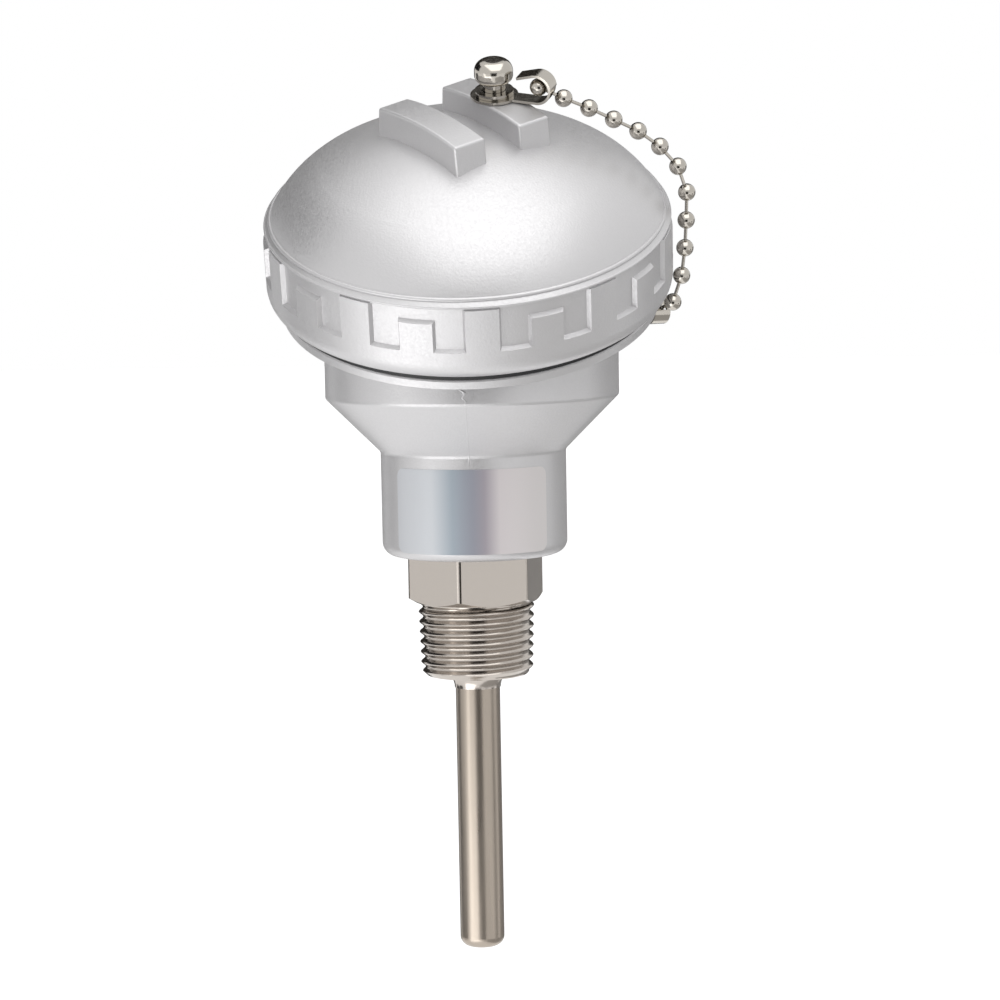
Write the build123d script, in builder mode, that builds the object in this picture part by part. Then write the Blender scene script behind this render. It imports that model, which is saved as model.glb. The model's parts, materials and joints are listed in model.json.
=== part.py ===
"""Resistance thermometer probe with a slanted screw-cap connection head."""

import math
import os

from build123d import *

# Frame: millimetres, +Z up along the stem. The origin is on the stem's axis at the
# shoulder under the hexagon, where the process thread begins. The low side of the
# slanted head faces -Y and the cable entry faces +Y.

# Clearances
seat_gap = 0.03
running_gap = 0.08

# Process fitting
thread_radius = 10.5
thread_length = 13.4
thread_end_chamfer = 1.0
hexagon_flats = 22.0
hexagon_height = 8.5
hexagon_chamfer = 1.7
hexagon_turn = 18.8
head_thread_radius = 10.4
head_thread_length = 12.0
fitting_bore_radius = 6.5
fitting_floor = 5.4
weld_radius = 5.2
weld_height = 2.4
weld_waist = 0.4
weld_waist_place = 0.5
weld_toe = 0.15

# Probe sheath and what it holds
probe_length = 50.0
sheath_radius = 4.0
sheath_wall = 1.0
sheath_shank_radius = 3.8
sheath_tip_fillet = 1.9
sheath_end_thickness = 1.4
sheath_standing = 2.0
element_radius = 1.9
element_length = 14.0
element_place = 1.0
element_chamfer = 0.2
lead_radius = 0.6
lead_circle = 1.15
lead_count = 3
potting_length = 6.0

# Head casting below the slanted joint
neck_radius = 16.65
neck_height = 18.7
neck_fillet = 2.4
bowl_radius = 26.35
bowl_wall = 2.95
casting_wall = 3.2
cavity_floor_wall = 2.24
cable_passage_radius = 8.0
cone_fillet = 0.8
flange_radius = 33.75
flange_edge = 1.7
flange_depth = 3.6
flange_slope_radius = 29.6
flange_chamfer = 0.35
collar_radius = 31.0
collar_bore_radius = 28.3
collar_height = 7.0
collar_chamfer = 0.6

# Slanted joint
slant = 25.0
joint_height = 56.1
gasket_thickness = 0.8
gasket_radius = 33.65

# Cap
cap_radius = 36.25
cap_foot_radius = 33.75
cap_foot_rise = 3.2
cap_foot_slope = 0.35
rib_top = 14.1
lip_radius = 35.8
lip_top = 15.4
dome_edge_radius = 35.05
dome_sphere_radius = 54.0
dome_apex = 31.2
dome_crown_radius = 26.0
cap_wall = 3.2
cap_bore_height = 8.2
cap_inner_radius = 30.4

# Castellated grip band
motif_count = 10
motif_phase = -12.2
rib_angle = 9.0
groove_bottom = 6.1
groove_depth = 0.8
groove_draft = 30.0
groove_overrun = 2.0
tab_top = 11.5

# Wrench lugs
lug_direction = 39.0
lug_offset = 6.9
lug_width = 6.5
lug_length = 22.4
lug_crown = 35.3
lug_end = 34.3
lug_draft = 1.0
lug_root = 28.5
lug_fillet = 0.5

# Chain clip and screw on the cap
clip_thickness = 0.45
clip_width = 3.2
curl_radius = 2.3
cap_eye_radius = 4.2
cap_clip_reach = 8.34
cap_clip_direction = 70.5
cap_clip_tail = 3.0
curl_end = 105.0
chain_screw_radius = 2.0
chain_screw_head_radius = 3.4
chain_screw_head_height = 4.0
chain_screw_depth = 4.5
chain_screw_stand = 1.5
chain_screw_crown = 2.0
chain_screw_undercut = 1.2
washer_radius = 3.4
washer_thickness = 0.8
cross_width = 0.9
cross_length = 3.8
cross_depth = 1.6
cross_taper = 12.0

# Bead chain
ball_radius = 1.55
ball_wall = 0.3
ball_hole_radius = 0.5
chain_pitch = 5.0
chain_yaw = 17.2
chain_tilt = 10.0
chain_slopes = (23.9, 20.9, 24.0, 24.7, 34.1, 45.9, 68.4, 88.8, 90.2, 94.5, 106.7)
rod_radius = 0.3
rod_head_radius = 0.5
rod_head_thickness = 0.3
rod_head_place = 0.6
rod_slot_width = 1.3
rod_slot_low = -10.0
rod_slot_high = 30.0
body_slot_low = -14.0
body_slot_high = 14.0
open_pivot_gap = 0.6

# Chain clip, screw and ear on the head body
body_eye_radius = 3.6
body_screw_clear = 4.0
body_screw_direction = 19.5
body_clip_reach = 8.3
body_clip_tail = 2.0
body_clip_direction = -57.0
body_curl_radius = 1.9
ear_bottom = 53.8
ear_thickness = 2.6
ear_radius = 3.9
body_screw_radius = 1.5
body_screw_head_radius = 2.7
body_screw_head_height = 1.7
body_screw_crown = 1.0
body_screw_length = 3.3
body_screw_hole = 3.0

# Terminal block and its hardware
block_radius = 20.6
block_thickness = 7.0
block_hole_radius = 4.2
block_chamfer = 0.8
post_radius = 3.3
post_height = 8.6
block_screw_pitch = 29.0
block_screw_radius = 1.9
block_screw_head_radius = 3.2
block_screw_head_height = 2.2
block_screw_engagement = 4.5
block_screw_relief = 0.5
barrier_height = 3.6
barrier_width = 1.8
barrier_length = 8.0
barrier_start = 8.0
bar_count = 3
bar_width = 6.6
bar_length = 12.6
bar_thickness = 2.4
bar_start = 6.6
bar_turn = 90.0
terminal_screw_radius = 1.7
terminal_screw_head_radius = 2.7
terminal_screw_head_height = 1.9
terminal_screw_depth = 4.5
terminal_screw_inset = 4.0
terminal_screw_pitch = 5.8
slot_width = 0.8
slot_depth = 0.9
lead_bend_radius = 3.0
lead_grip = 1.0

# Cable entry
entry_height = 49.0
entry_radius = 13.0
entry_reach = 42.0
entry_bore_radius = 10.0
entry_bore_depth = 14.0
entry_passage_radius = 7.5
entry_chamfer = 1.0
grommet_length = 8.0
grommet_bore_radius = 4.2
entry_washer_thickness = 1.0
entry_washer_bore_radius = 5.2
entry_nut_bore_radius = 5.5
entry_nut_shank = 6.5
entry_nut_flats = 22.0
entry_nut_head = 6.5
entry_nut_chamfer = 0.8

# Places worked out from the sizes above
probe_top = -thread_length
probe_tip = probe_top - probe_length
sheath_top = fitting_floor + sheath_standing
cone_bottom = hexagon_height + neck_height
cone_top = cone_bottom + bowl_radius - neck_radius
cavity_radius = bowl_radius - bowl_wall
cavity_floor = cone_bottom + cavity_floor_wall
cavity_floor_radius = neck_radius + cavity_floor - cone_bottom - casting_wall * math.sqrt(2)
cavity_shoulder = cavity_floor + cavity_radius - cavity_floor_radius
clear_height = joint_height + bowl_radius
slant_sine = math.sin(math.radians(slant))
slant_cosine = math.cos(math.radians(slant))
flange_top = -gasket_thickness / 2
cap_foot = gasket_thickness / 2 + seat_gap
block_bottom = cavity_floor + post_height + seat_gap
block_top = block_bottom + block_thickness
bar_bottom = block_top + seat_gap
bar_top = bar_bottom + bar_thickness
curl_centre = curl_radius + clip_thickness
body_curl_centre = body_curl_radius + clip_thickness
inner_screw = bar_start + terminal_screw_inset
outer_screw = inner_screw + terminal_screw_pitch
head_up = (Align.CENTER, Align.CENTER, Align.MIN)
head_down = (Align.CENTER, Align.CENTER, Align.MAX)

# Planes of the slanted joint: X right, Z along the cap's axis; and its section
joint_origin = Vector(0, 0, joint_height)
joint_up = Vector(0, -slant_sine, slant_cosine)
joint_front = Vector(0, -slant_cosine, -slant_sine)
joint_plane = Plane(origin=joint_origin, x_dir=(1, 0, 0), z_dir=joint_up)
joint_section = Plane(origin=joint_origin, x_dir=(1, 0, 0), z_dir=joint_front)
joint_axis = Axis(joint_origin, joint_up)


def joint_direction(angle):
    """Give the direction across the cap's axis, turned from the front to the right."""
    turn = math.radians(angle)
    return Vector(math.sin(turn), 0, 0) + joint_front * math.cos(turn)


def keep(builder, name):
    """Name a finished part and write it to its file."""
    builder.part.label = name
    export_step(builder.part, f"parts/{name}.step")


lug_along = joint_direction(lug_direction)
lug_across = joint_up.cross(lug_along)
screw_place = joint_origin + lug_across * lug_offset + joint_up * lug_crown
screw_plane = Plane(origin=screw_place, x_dir=(1, 0, 0), z_dir=joint_up)


def rod_slot_plane(centre, toward, upward):
    """Give the plane that holds a rod and an upward direction, with its X along the rod."""
    along = (toward - centre).normalized()
    return Plane(origin=centre, x_dir=along, z_dir=along.cross(upward))


def rod_slot(low, high):
    """Draw the wedge that a rod sweeps as it swings in its clip."""
    reach = 2 * curl_centre
    with BuildLine() as wedge:
        Polyline(
            (0, 0),
            (reach * math.cos(math.radians(low)), reach * math.sin(math.radians(low))),
            (reach, 0),
            (reach * math.cos(math.radians(high)), reach * math.sin(math.radians(high))),
            (0, 0),
        )
    make_face(wedge.edges())


def clip_outline(reach, tail, inner):
    """Draw a clip's side view: a strip from the eye, curled over its ball."""
    outer = inner + clip_thickness
    end = math.radians(curl_end)
    away = Vector(-math.sin(end), math.cos(end))
    out_end = Vector(reach, 0) + Vector(math.cos(end), math.sin(end)) * outer
    in_end = Vector(reach, 0) + Vector(math.cos(end), math.sin(end)) * inner
    with BuildLine() as outline:
        Line((0, -outer), (reach, -outer))
        ThreePointArc((reach, -outer), (reach + outer, 0), out_end)
        Line(out_end, out_end + away * tail)
        Line(out_end + away * tail, in_end + away * tail)
        Line(in_end + away * tail, in_end)
        ThreePointArc(in_end, (reach + inner, 0), (reach, -inner))
        Line((reach, -inner), (0, -inner))
        Line((0, -inner), (0, -outer))
    make_face(outline.edges())


# The chain hangs in one plane: a level direction, and the way down across it
yaw = math.radians(chain_yaw)
tilt = math.radians(chain_tilt)
chain_level = Vector(math.cos(yaw), math.sin(yaw), 0)
chain_down = Vector(0, 0, -math.cos(tilt))
chain_down += Vector(-math.sin(yaw), math.cos(yaw), 0) * math.sin(tilt)

os.makedirs("parts", exist_ok=True)

# Head body: neck, cone and bowl with a slanted flange, threaded collar and cable entry
entry_plane = Plane(origin=(0, 0, entry_height), x_dir=(1, 0, 0), z_dir=(0, 1, 0))
ear_reach = bowl_radius + body_screw_clear
ear_turn = math.radians(body_screw_direction)
body_screw_place = (ear_reach * math.cos(ear_turn), ear_reach * math.sin(ear_turn))
ear_start = cavity_radius
with BuildPart() as head_body:
    with BuildSketch(Plane.XZ):
        with BuildLine():
            Polyline(
                (0, hexagon_height),
                (neck_radius, hexagon_height),
                (neck_radius, cone_bottom),
                (bowl_radius, cone_top),
                (bowl_radius, clear_height),
                (0, clear_height),
                (0, hexagon_height),
            )
        make_face()
    revolve(axis=Axis.Z)
    rims = head_body.edges().filter_by(GeomType.CIRCLE).sort_by(Axis.Z)
    fillet(rims[0], neck_fillet)
    cone_rims = head_body.edges().filter_by(
        lambda edge: min(abs(edge.center().Z - cone_bottom), abs(edge.center().Z - cone_top))
        < 0.01
    )
    fillet(cone_rims, cone_fillet)
    with BuildSketch(entry_plane):
        Circle(entry_radius)
    extrude(amount=entry_reach)
    chamfer(head_body.edges().filter_by(GeomType.CIRCLE).sort_by(Axis.Y)[-1], entry_chamfer)

    # Ear for the lower chain clip
    with BuildSketch(Plane.XY.offset(ear_bottom)):
        with Locations(Rotation(0, 0, body_screw_direction) * Pos((ear_start + ear_reach) / 2, 0)):
            SlotCenterToCenter(ear_reach - ear_start, 2 * ear_radius)
    extrude(amount=ear_thickness)

    # Wiring cavity
    with BuildSketch(Plane.XZ):
        with BuildLine():
            Polyline(
                (0, cavity_floor),
                (cavity_floor_radius, cavity_floor),
                (cavity_radius, cavity_shoulder),
                (cavity_radius, clear_height),
                (0, clear_height),
                (0, cavity_floor),
            )
        make_face()
    revolve(axis=Axis.Z, mode=Mode.SUBTRACT)
    split(bisect_by=joint_plane.offset(flange_top), keep=Keep.BOTTOM)

    # Flange and collar, turned about the slanted axis
    with BuildSketch(joint_section):
        with BuildLine():
            flange_inner = cavity_radius / slant_cosine
            Polyline(
                (flange_inner, flange_top),
                (collar_bore_radius, flange_top),
                (collar_bore_radius, collar_height),
                (collar_radius - collar_chamfer, collar_height),
                (collar_radius, collar_height - collar_chamfer),
                (collar_radius, flange_top),
                (flange_radius - flange_chamfer, flange_top),
                (flange_radius, flange_top - flange_chamfer),
                (flange_radius, flange_top - flange_edge),
                (flange_slope_radius, flange_top - flange_depth),
                (flange_inner, flange_top - flange_depth),
                (flange_inner, flange_top),
            )
        make_face()
    revolve(axis=joint_axis)

    # Posts for the terminal block, then the bores
    with BuildSketch(Plane.XY.offset(cavity_floor)):
        with GridLocations(block_screw_pitch, 0, 2, 1):
            Circle(post_radius)
    extrude(amount=post_height)
    with BuildSketch(Plane.XY.offset(cavity_floor + post_height)):
        with GridLocations(block_screw_pitch, 0, 2, 1):
            Circle(block_screw_radius + seat_gap)
    extrude(amount=-block_screw_engagement, mode=Mode.SUBTRACT)
    with BuildSketch(Plane.XY.offset(hexagon_height)):
        Circle(head_thread_radius + seat_gap)
    extrude(amount=head_thread_length + seat_gap, mode=Mode.SUBTRACT)
    with BuildSketch(Plane.XY.offset(hexagon_height)):
        Circle(cable_passage_radius)
    extrude(amount=cavity_floor - hexagon_height + running_gap, mode=Mode.SUBTRACT)
    with BuildSketch(Plane.XY.offset(ear_bottom)):
        with Locations(body_screw_place):
            Circle(body_screw_radius + seat_gap)
    extrude(amount=body_screw_hole, mode=Mode.SUBTRACT)
    with BuildSketch(entry_plane.offset(entry_reach)):
        Circle(entry_bore_radius)
    extrude(amount=-entry_bore_depth, mode=Mode.SUBTRACT)
    with BuildSketch(entry_plane.offset(entry_reach)):
        Circle(entry_passage_radius)
    extrude(amount=cavity_radius / 2 - entry_reach, mode=Mode.SUBTRACT)
keep(head_body, "head_body")

# Gasket on the flange
with BuildPart() as cap_gasket:
    with BuildSketch(joint_plane.offset(flange_top + seat_gap)):
        Circle(gasket_radius)
        Circle(collar_radius + running_gap, mode=Mode.SUBTRACT)
    extrude(amount=gasket_thickness - seat_gap)
keep(cap_gasket, "cap_gasket")

# Cutter for one castellation: two legs joined above a tab, with drafted walls
leg_width = 2 * cap_radius * math.sin(math.radians(rib_angle / 2))
groove_top = lip_top + groove_overrun
with BuildPart() as groove:
    for turn in (-rib_angle, 0, rib_angle):
        outward = joint_direction(motif_phase + turn)
        bottom = tab_top if turn == 0 else groove_bottom
        face = Plane(
            origin=joint_origin + outward * cap_radius,
            x_dir=joint_up,
            z_dir=outward * -1,
        )
        width = 2 * leg_width if turn == 0 else leg_width
        with BuildSketch(face):
            with Locations(((bottom + groove_top) / 2, 0)):
                Rectangle(groove_top - bottom, width)
        extrude(amount=2 * groove_depth, taper=groove_draft)
        with BuildSketch(face):
            with Locations(((bottom + groove_top) / 2, 0)):
                Rectangle(groove_top - bottom, width)
        extrude(amount=-groove_depth)
    with BuildSketch(joint_section):
        with Locations((cap_radius - groove_depth, groove_bottom - groove_overrun)):
            Rectangle(
                3 * groove_depth,
                rib_top - groove_bottom + groove_overrun,
                align=(Align.MIN, Align.MIN),
            )
    revolve(axis=joint_axis, mode=Mode.INTERSECT)

# Cap: domed casting with a castellated band and two wrench lugs
dome_centre = dome_apex - dome_sphere_radius
inner_sphere = dome_sphere_radius - cap_wall


def dome_height(radius, sphere):
    """Give the height of a dome's surface at a radius from the cap's axis."""
    return dome_centre + math.sqrt(sphere**2 - radius**2)


with BuildPart() as head_cap:
    with BuildSketch(joint_section):
        with BuildLine():
            foot_turn = Vector(cap_radius, cap_foot + cap_foot_rise)
            crown_edge = Vector(dome_crown_radius, dome_height(dome_crown_radius, dome_sphere_radius))
            crown_middle = dome_crown_radius / 2
            inner_edge = Vector(cap_inner_radius, dome_height(cap_inner_radius, inner_sphere))
            inner_middle = cap_inner_radius / 2
            bore = collar_radius + running_gap
            Line((bore, cap_foot), (cap_foot_radius, cap_foot))
            Spline(
                (cap_foot_radius, cap_foot),
                foot_turn,
                tangents=((1, cap_foot_slope), (0, 1)),
            )
            Polyline(
                foot_turn,
                (cap_radius, rib_top),
                (lip_radius, rib_top),
                (lip_radius, (rib_top + lip_top) / 2),
                (dome_edge_radius, lip_top),
            )
            TangentArc(
                crown_edge,
                (dome_edge_radius, lip_top),
                tangent=(crown_edge.Y - dome_centre, -crown_edge.X),
            )
            ThreePointArc(
                crown_edge,
                (crown_middle, dome_height(crown_middle, dome_sphere_radius)),
                (0, dome_apex),
            )
            Line((0, dome_apex), (0, dome_apex - cap_wall))
            ThreePointArc(
                (0, dome_apex - cap_wall),
                (inner_middle, dome_height(inner_middle, inner_sphere)),
                inner_edge,
            )
            Polyline(
                inner_edge,
                (cap_inner_radius, cap_bore_height),
                (bore, cap_bore_height),
                (bore, cap_foot),
            )
        make_face()
    revolve(axis=joint_axis)
    add(
        [groove.part.rotate(joint_axis, 360 / motif_count * turn) for turn in range(motif_count)],
        mode=Mode.SUBTRACT,
    )

    # Wrench lugs: two bars with an arched top and drafted ends
    for side in (-1, 1):
        side_face = Plane(
            origin=joint_origin + lug_across * (side * lug_offset),
            x_dir=lug_along,
            z_dir=lug_along.cross(joint_up),
        )
        with BuildSketch(side_face):
            with BuildLine():
                Polyline(
                    (-lug_length / 2, lug_end),
                    (-lug_length / 2 - lug_draft / 2, lug_root),
                    (lug_length / 2 + lug_draft / 2, lug_root),
                    (lug_length / 2, lug_end),
                )
                ThreePointArc(
                    (lug_length / 2, lug_end),
                    (0, lug_crown),
                    (-lug_length / 2, lug_end),
                )
            make_face()
        extrude(amount=lug_width / 2, both=True)
    lug_edges = head_cap.edges().filter_by(
        lambda edge: (edge.center() - joint_origin).dot(joint_up) > (lug_root + lug_end) / 2
    )
    fillet(lug_edges, lug_fillet)

    # Tapped hole for the chain screw in the right lug
    with BuildSketch(screw_plane):
        Circle(chain_screw_radius + seat_gap)
    extrude(amount=-chain_screw_depth - seat_gap, mode=Mode.SUBTRACT)
keep(head_cap, "head_cap")

# Chain screw, washer and clip on the cap
clip_bottom = lug_crown + seat_gap
washer_bottom = clip_bottom + clip_thickness + seat_gap
washer_top = washer_bottom + washer_thickness
head_bottom = washer_top + chain_screw_stand
with BuildPart() as cap_chain_screw:
    with BuildSketch(screw_plane.offset(-chain_screw_depth)):
        Circle(chain_screw_radius)
    extrude(amount=head_bottom - lug_crown + chain_screw_depth)
    with BuildSketch(screw_plane.offset(head_bottom - lug_crown)):
        Circle(chain_screw_head_radius)
    extrude(amount=chain_screw_head_height)
    rims = cap_chain_screw.edges().filter_by(
        lambda edge: edge.geom_type == GeomType.CIRCLE
        and abs(edge.radius - chain_screw_head_radius) < 0.01
    )
    rims = rims.sort_by(Axis(joint_origin, joint_up))
    fillet(rims[-1], chain_screw_crown)
    fillet(rims[0], chain_screw_undercut)
    with BuildSketch(screw_plane.offset(head_bottom - lug_crown + chain_screw_head_height)):
        Rectangle(cross_length, cross_width)
        Rectangle(cross_width, cross_length)
    extrude(amount=-cross_depth, taper=cross_taper, mode=Mode.SUBTRACT)
keep(cap_chain_screw, "cap_chain_screw")

with BuildPart() as cap_chain_washer:
    with BuildSketch(screw_plane.offset(washer_bottom - lug_crown)):
        Circle(washer_radius)
        Circle(chain_screw_radius + running_gap, mode=Mode.SUBTRACT)
    extrude(amount=washer_thickness)
keep(cap_chain_washer, "cap_chain_washer")

cap_clip_along = joint_direction(cap_clip_direction)
cap_clip_face = Plane(
    origin=screw_place + joint_up * (clip_bottom - lug_crown + curl_centre),
    x_dir=cap_clip_along,
    z_dir=cap_clip_along.cross(joint_up),
)
first_ball = cap_clip_face.from_local_coords(Vector(cap_clip_reach, 0, 0))
ball_centres = [first_ball]
for slope in chain_slopes:
    turn = math.radians(slope)
    step = chain_level * math.cos(turn) + chain_down * math.sin(turn)
    ball_centres.append(ball_centres[-1] + step * chain_pitch)
body_clip_turn = math.radians(body_clip_direction)
body_clip_along = Vector(math.cos(body_clip_turn), math.sin(body_clip_turn), 0)
body_clip_top = ear_bottom - seat_gap
body_curl_height = body_clip_top - body_curl_centre
body_ball = Vector(*body_screw_place, body_curl_height) + body_clip_along * body_clip_reach
ball_centres.append(body_ball)
with BuildPart() as cap_chain_clip:
    with BuildSketch(cap_clip_face):
        clip_outline(cap_clip_reach, cap_clip_tail, curl_radius)
    extrude(amount=clip_width / 2, both=True)
    with BuildSketch(screw_plane.offset(clip_bottom - lug_crown)):
        Circle(cap_eye_radius)
    extrude(amount=clip_thickness)
    with BuildSketch(screw_plane.offset(clip_bottom - lug_crown)):
        Circle(chain_screw_radius + running_gap)
    extrude(amount=clip_thickness, mode=Mode.SUBTRACT)
    with BuildSketch(rod_slot_plane(first_ball, ball_centres[1], chain_down * -1)):
        rod_slot(rod_slot_low, rod_slot_high)
    extrude(amount=rod_slot_width / 2, both=True, mode=Mode.SUBTRACT)
keep(cap_chain_clip, "cap_chain_clip")

# Bead chain: hollow balls, and headed rods that hold them at one pitch
last_ball = len(ball_centres) - 1
for place, centre in enumerate(ball_centres):
    before = ball_centres[max(place - 1, 0)]
    after = ball_centres[min(place + 1, last_ball)]
    seam = chain_level.cross(chain_down).cross(after - before)
    with BuildPart() as chain_ball:
        with Locations(Plane(origin=centre, x_dir=seam, z_dir=(after - before).cross(seam))):
            Sphere(ball_radius)
            Sphere(ball_radius - ball_wall, mode=Mode.SUBTRACT)
        for other in (place - 1, place + 1):
            if 0 <= other <= last_ball:
                with BuildSketch(Plane(origin=centre, z_dir=ball_centres[other] - centre)):
                    Circle(ball_hole_radius)
                extrude(amount=2 * ball_radius, mode=Mode.SUBTRACT)
    keep(chain_ball, f"chain_ball_{place:02d}")

for place in range(last_ball):
    near = ball_centres[place]
    far = ball_centres[place + 1]
    along = (far - near).normalized()
    reach = (far - near).length
    opened = place == last_ball - 1
    start = ball_radius + open_pivot_gap if opened else rod_head_place
    stop = reach - rod_head_place
    rod_face = Plane(origin=near, z_dir=along)
    with BuildPart() as chain_rod:
        with BuildSketch(rod_face.offset(start)):
            Circle(rod_radius)
        extrude(amount=stop - start)
        if not opened:
            with BuildSketch(rod_face.offset(start)):
                Circle(rod_head_radius)
            extrude(amount=rod_head_thickness)
        with BuildSketch(rod_face.offset(stop)):
            Circle(rod_head_radius)
        extrude(amount=-rod_head_thickness)
    keep(chain_rod, f"chain_rod_{place:02d}")

# Clip and screw under the head body's ear
body_clip_face = Plane(
    origin=Vector(*body_screw_place, body_curl_height),
    x_dir=body_clip_along,
    z_dir=body_clip_along.cross(Vector(0, 0, -1)),
)
with BuildPart() as body_chain_clip:
    with BuildSketch(body_clip_face):
        clip_outline(body_clip_reach, body_clip_tail, body_curl_radius)
    extrude(amount=clip_width / 2, both=True)
    with BuildSketch(Plane.XY.offset(body_clip_top)):
        with Locations(body_screw_place):
            Circle(body_eye_radius)
    extrude(amount=-clip_thickness)
    with BuildSketch(Plane.XY.offset(body_clip_top)):
        with Locations(body_screw_place):
            Circle(body_screw_radius + seat_gap)
    extrude(amount=-clip_thickness, mode=Mode.SUBTRACT)
    with BuildSketch(rod_slot_plane(body_ball, ball_centres[-2], Vector(0, 0, 1))):
        rod_slot(body_slot_low, body_slot_high)
    extrude(amount=rod_slot_width / 2, both=True, mode=Mode.SUBTRACT)
keep(body_chain_clip, "body_chain_clip")

with BuildPart() as body_chain_screw:
    body_screw_seat = body_clip_top - clip_thickness - seat_gap
    with Locations((*body_screw_place, body_screw_seat)):
        Cylinder(body_screw_radius, body_screw_length, align=head_up)
        Cylinder(body_screw_head_radius, body_screw_head_height, align=head_down)
    fillet(body_chain_screw.edges().sort_by(Axis.Z)[0], body_screw_crown)
    with BuildSketch(Plane.XY.offset(body_screw_seat - body_screw_head_height)):
        with Locations(body_screw_place):
            Rectangle(2 * body_screw_head_radius, slot_width)
    extrude(amount=slot_depth, mode=Mode.SUBTRACT)
keep(body_chain_screw, "body_chain_screw")

# Process fitting: hexagon, both threads as plain cylinders, bores and the weld
with BuildPart() as hex_nipple:
    with BuildSketch():
        RegularPolygon(hexagon_flats / 2, 6, major_radius=False, rotation=hexagon_turn)
    extrude(amount=hexagon_height)
    with BuildSketch(Plane.XZ):
        with BuildLine():
            hexagon_corner = hexagon_flats / math.sqrt(3)
            Polyline(
                (0, 0),
                (hexagon_flats / 2, 0),
                (hexagon_corner, hexagon_chamfer * math.tan(math.radians(30))),
                (hexagon_corner, hexagon_height),
                (0, hexagon_height),
                (0, 0),
            )
        make_face()
    revolve(axis=Axis.Z, mode=Mode.INTERSECT)
    with BuildSketch(Plane.XZ):
        with BuildLine():
            Polyline(
                (0, 0),
                (thread_radius, 0),
                (thread_radius, probe_top + thread_end_chamfer),
                (thread_radius - thread_end_chamfer, probe_top),
                (weld_radius, probe_top),
            )
            ThreePointArc(
                (weld_radius, probe_top),
                (sheath_radius + weld_waist, probe_top - weld_height * weld_waist_place),
                (sheath_radius + weld_toe, probe_top - weld_height),
            )
            Polyline(
                (sheath_radius + weld_toe, probe_top - weld_height),
                (0, probe_top - weld_height),
                (0, 0),
            )
        make_face()
    revolve(axis=Axis.Z)
    with BuildSketch(Plane.XY.offset(hexagon_height)):
        Circle(head_thread_radius)
    extrude(amount=head_thread_length)
    chamfer(hex_nipple.edges().sort_by(Axis.Z)[-1], thread_end_chamfer)
    with BuildSketch(Plane.XY.offset(hexagon_height + head_thread_length)):
        Circle(fitting_bore_radius)
    extrude(amount=fitting_floor - hexagon_height - head_thread_length, mode=Mode.SUBTRACT)
    with BuildSketch(Plane.XY.offset(fitting_floor)):
        Circle(sheath_shank_radius + seat_gap)
    extrude(amount=probe_top - weld_height - fitting_floor, mode=Mode.SUBTRACT)
keep(hex_nipple, "hex_nipple")

# Sheath: a closed tube, turned down where it stands in the fitting
with BuildPart() as sheath:
    with BuildSketch(Plane.XY.offset(probe_tip)):
        Circle(sheath_radius)
    extrude(amount=probe_top - weld_height - seat_gap - probe_tip)
    with BuildSketch(Plane.XY.offset(probe_tip)):
        Circle(sheath_shank_radius)
    extrude(amount=sheath_top - probe_tip)
    fillet(sheath.edges().sort_by(Axis.Z)[0], sheath_tip_fillet)
    with BuildSketch(Plane.XY.offset(sheath_top)):
        Circle(sheath_radius - sheath_wall)
    extrude(amount=probe_tip + sheath_end_thickness - sheath_top, mode=Mode.SUBTRACT)
keep(sheath, "sheath")

# Sensing element, powder filling, potting and three leads
fill_bottom = probe_tip + sheath_end_thickness + seat_gap
element_bottom = fill_bottom + element_place
element_top = element_bottom + element_length
fill_top = sheath_top - potting_length
fill_radius = sheath_radius - sheath_wall - seat_gap
with BuildPart() as sensing_element:
    with Locations((0, 0, element_bottom)):
        Cylinder(element_radius, element_length, align=head_up)
    chamfer(sensing_element.edges().filter_by(GeomType.CIRCLE), element_chamfer)
keep(sensing_element, "sensing_element")

with BuildPart() as filling:
    with Locations((0, 0, fill_bottom)):
        Cylinder(fill_radius, fill_top - fill_bottom, align=head_up)
    with Locations((0, 0, element_bottom - seat_gap)):
        Cylinder(
            element_radius + seat_gap,
            element_length + 2 * seat_gap,
            align=head_up,
            mode=Mode.SUBTRACT,
        )
    with Locations((0, 0, element_top)):
        with PolarLocations(lead_circle, lead_count, start_angle=bar_turn):
            Cylinder(lead_radius + seat_gap, probe_length, align=head_up, mode=Mode.SUBTRACT)
keep(filling, "filling")

with BuildPart() as potting:
    with Locations((0, 0, fill_top + seat_gap)):
        Cylinder(fill_radius, potting_length - seat_gap, align=head_up)
        with PolarLocations(lead_circle, lead_count, start_angle=bar_turn):
            Cylinder(lead_radius + seat_gap, potting_length, align=head_up, mode=Mode.SUBTRACT)
keep(potting, "potting")

bar_middle = bar_bottom + bar_thickness / 2
lead_end = bar_start + lead_grip
for place in range(bar_count):
    turn = bar_turn + 360 / bar_count * place
    lead_plane = Plane.XZ.rotated((0, 0, turn))
    with BuildPart() as lead_wire:
        with BuildLine(lead_plane):
            Line(
                (lead_circle, element_top + seat_gap * 2),
                (lead_circle, bar_middle - lead_bend_radius),
            )
            RadiusArc(
                (lead_circle, bar_middle - lead_bend_radius),
                (lead_circle + lead_bend_radius, bar_middle),
                lead_bend_radius,
            )
            Line((lead_circle + lead_bend_radius, bar_middle), (lead_end, bar_middle))
        with BuildSketch(Plane.XY.offset(element_top + seat_gap * 2)):
            with Locations(Rotation(0, 0, turn) * Pos(lead_circle, 0)):
                Circle(lead_radius)
        sweep()
    keep(lead_wire, f"lead_wire_{place + 1}")

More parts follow.
